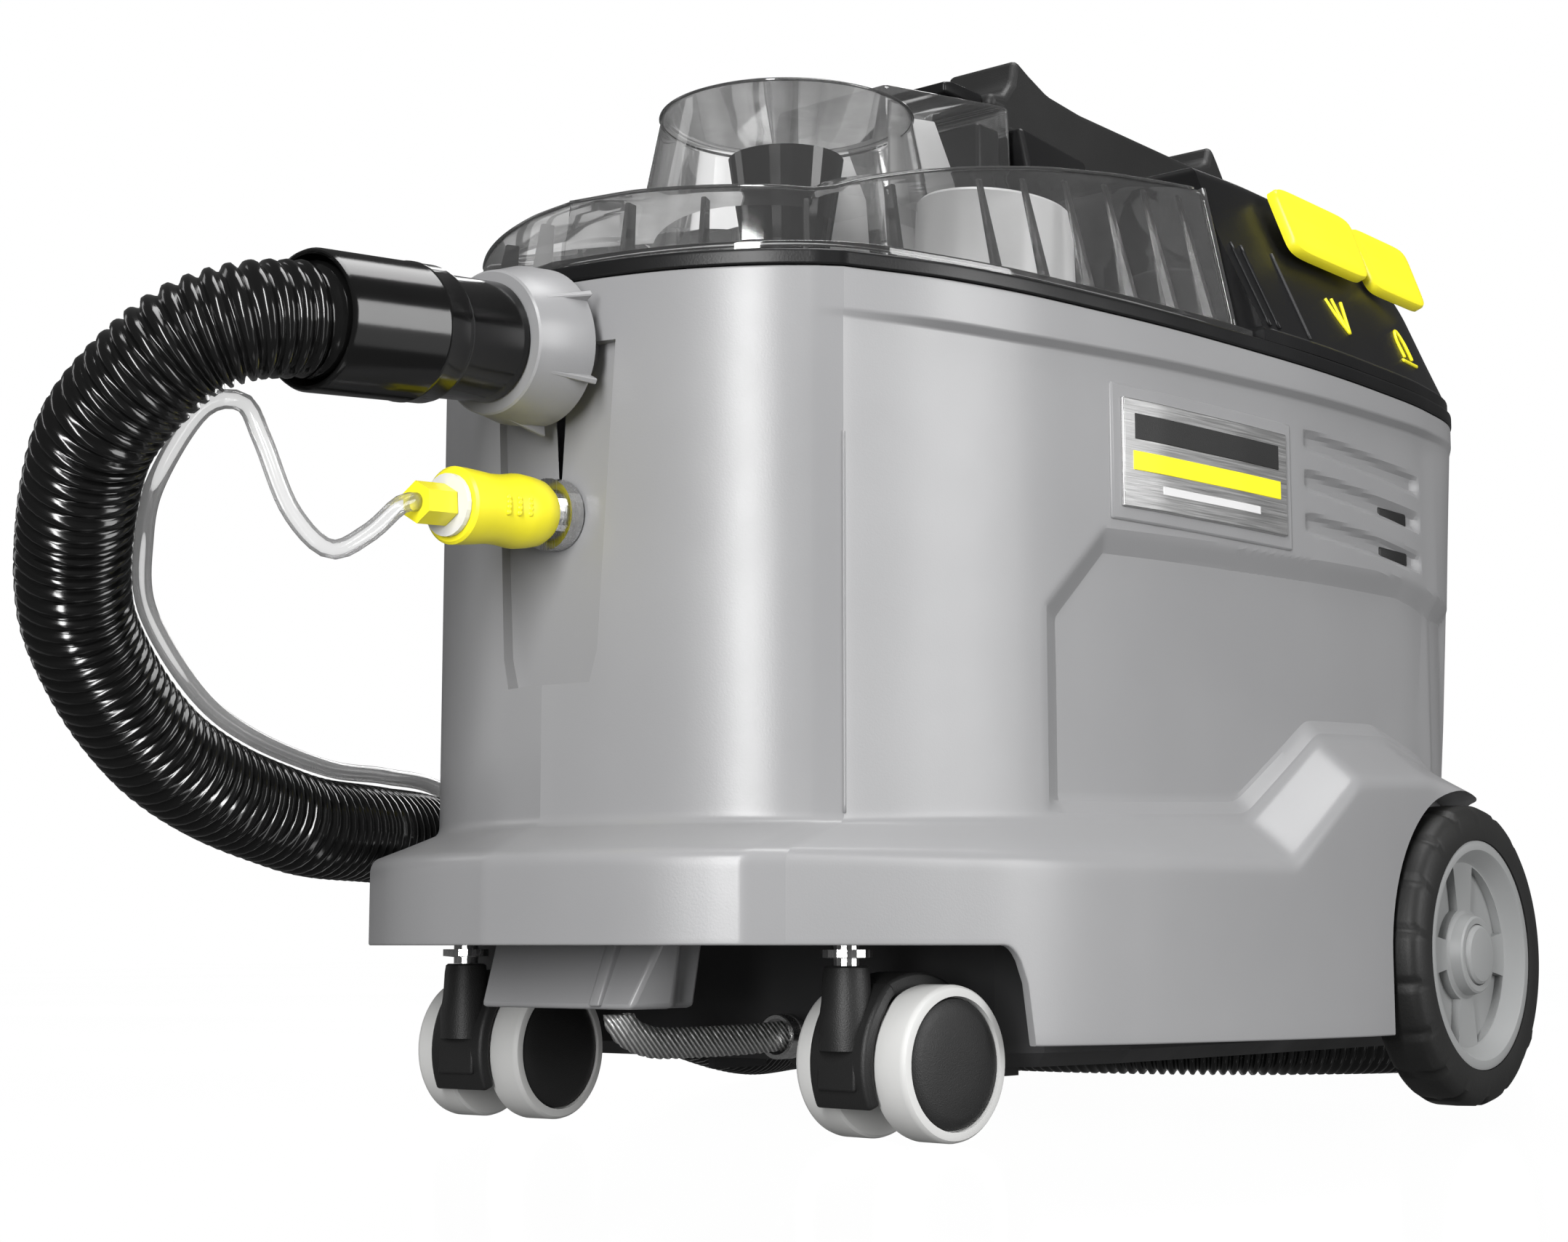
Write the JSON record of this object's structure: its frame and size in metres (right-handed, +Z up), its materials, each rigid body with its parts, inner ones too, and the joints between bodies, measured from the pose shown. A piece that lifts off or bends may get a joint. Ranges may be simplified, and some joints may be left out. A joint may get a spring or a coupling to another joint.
{
  "type": "spot extractor",
  "caption": "Spray-extraction cleaner: grey tub on casters and rear wheels, clear lid with dome, black motor head and handle, corrugated suction hose and clear spray tube.",
  "frame": {"origin": "on the floor under the middle of the machine without its cords", "axes": "+Z up, -Y front (hose side), +X the side with the badge and the switches, +Y rear"},
  "size_m": [0.503, 1.0054, 0.443],
  "materials": {
    "housing_grey": "fine matte",
    "black_trim": "satin",
    "gloss_black": "glossy",
    "clear_plastic": "clear",
    "clear_tube": "clear flexible",
    "white_plastic": "smooth",
    "tank_grey": "smooth",
    "yellow": "smooth",
    "badge_steel": "brushed",
    "motor_steel": "cast",
    "chrome": "bright",
    "braid": "braided",
    "caster_tread": "matte",
    "tyre_black": "matte",
    "rim_grey": "matte"
  },
  "bodies": {
    "chassis": {"housing_shell": "housing_grey", "front_sump": "housing_grey", "hose_port": "housing_grey", "underbody_pan": "black_trim", "pump": "black_trim", "cable_gland": "black_trim", "motor_carrier": "black_trim", "latch_block": "black_trim", "carry_handle": "black_trim", "head_cover": "black_trim", "seal_band": "black_trim", "hose_cuff": "gloss_black", "suction_hose": "gloss_black", "suction_hose_coil": "gloss_black", "hose_end_cuff": "gloss_black", "spray_hose": "clear_tube", "spray_hose_coil": "clear_tube", "spray_socket": "white_plastic", "coupling_ring": "white_plastic", "dirty_tank": "tank_grey", "inlet_riser": "tank_grey", "coupling_body": "yellow", "coupling_nut": "yellow", "spray_end_fitting": "yellow", "badge_plate": "badge_steel", "suction_turbine": "motor_steel", "rear_axle": "chrome", "hose_clamp": "chrome", "braided_hose": "braid"},
    "lid": {"lid_cover": "clear_plastic", "separator_plate": "white_plastic", "standpipe": "gloss_black", "float_cage": "white_plastic"},
    "float": {"float_ball": "white_plastic"},
    "spray_rocker": {"switch_spray": "yellow"},
    "suction_rocker": {"switch_suction": "yellow"},
    "caster_right": {"caster_stem_right": "chrome", "caster_hood_right": "black_trim", "caster_axle_right": "chrome"},
    "caster_right_wheel_a": {"caster_wheel_right_a": "caster_tread", "caster_cap_right_a": "black_trim"},
    "caster_right_wheel_b": {"caster_wheel_right_b": "caster_tread", "caster_cap_right_b": "black_trim"},
    "rear_wheel_right": {"tyre_right": "tyre_black", "wheel_rim_right": "rim_grey", "hub_cap_right": "rim_grey"},
    "caster_left": {"caster_stem_left": "chrome", "caster_hood_left": "black_trim", "caster_axle_left": "chrome"},
    "caster_left_wheel_a": {"caster_wheel_left_a": "caster_tread", "caster_cap_left_a": "black_trim"},
    "caster_left_wheel_b": {"caster_wheel_left_b": "caster_tread", "caster_cap_left_b": "black_trim"},
    "rear_wheel_left": {"tyre_left": "tyre_black", "wheel_rim_left": "rim_grey", "hub_cap_left": "rim_grey"}
  },
  "joints": [
    {"name": "caster_right_swivel", "type": "hinge", "parent": "chassis", "child": "caster_right", "pos_m": [0.0894, -0.17345, 0.05], "axis": [0, 0, 1], "continuous": true},
    {"name": "caster_right_wheel_a_spin", "type": "hinge", "parent": "caster_right", "child": "caster_right_wheel_a", "pos_m": [0.09194, -0.14757, 0.0256], "axis": [0.9952, -0.0976, 0], "continuous": true},
    {"name": "caster_right_wheel_b_spin", "type": "hinge", "parent": "caster_right", "child": "caster_right_wheel_b", "pos_m": [0.09194, -0.14757, 0.0256], "axis": [0.9952, -0.0976, 0], "continuous": true},
    {"name": "rear_wheel_right_spin", "type": "hinge", "parent": "chassis", "child": "rear_wheel_right", "pos_m": [0.157, 0.14035, 0.0602], "axis": [1, 0, 0], "continuous": true},
    {"name": "caster_left_swivel", "type": "hinge", "parent": "chassis", "child": "caster_left", "pos_m": [-0.0894, -0.17345, 0.05], "axis": [0, 0, 1], "continuous": true},
    {"name": "caster_left_wheel_a_spin", "type": "hinge", "parent": "caster_left", "child": "caster_left_wheel_a", "pos_m": [-0.09149, -0.14753, 0.0256], "axis": [0.9968, 0.0802, 0], "continuous": true},
    {"name": "caster_left_wheel_b_spin", "type": "hinge", "parent": "caster_left", "child": "caster_left_wheel_b", "pos_m": [-0.09149, -0.14753, 0.0256], "axis": [0.9968, 0.0802, 0], "continuous": true},
    {"name": "rear_wheel_left_spin", "type": "hinge", "parent": "chassis", "child": "rear_wheel_left", "pos_m": [-0.157, 0.14035, 0.0602], "axis": [1, 0, 0], "continuous": true},
    {"name": "lid_slide", "type": "slide", "parent": "chassis", "child": "lid", "axis": [0, -1, 0], "range_m": [0, 0.12]},
    {"name": "float_rise", "type": "slide", "parent": "lid", "child": "float", "axis": [0, 0, 1], "range_m": [0, 0.024]},
    {"name": "spray_rocker_tilt", "type": "hinge", "parent": "chassis", "child": "spray_rocker", "pos_m": [0.1272, 0.09855, 0.343], "axis": [0, 1, 0], "range_deg": [0, 7]},
    {"name": "suction_rocker_tilt", "type": "hinge", "parent": "chassis", "child": "suction_rocker", "pos_m": [0.12405, 0.16555, 0.343], "axis": [0, 1, 0], "range_deg": [0, 7]}
  ]
}
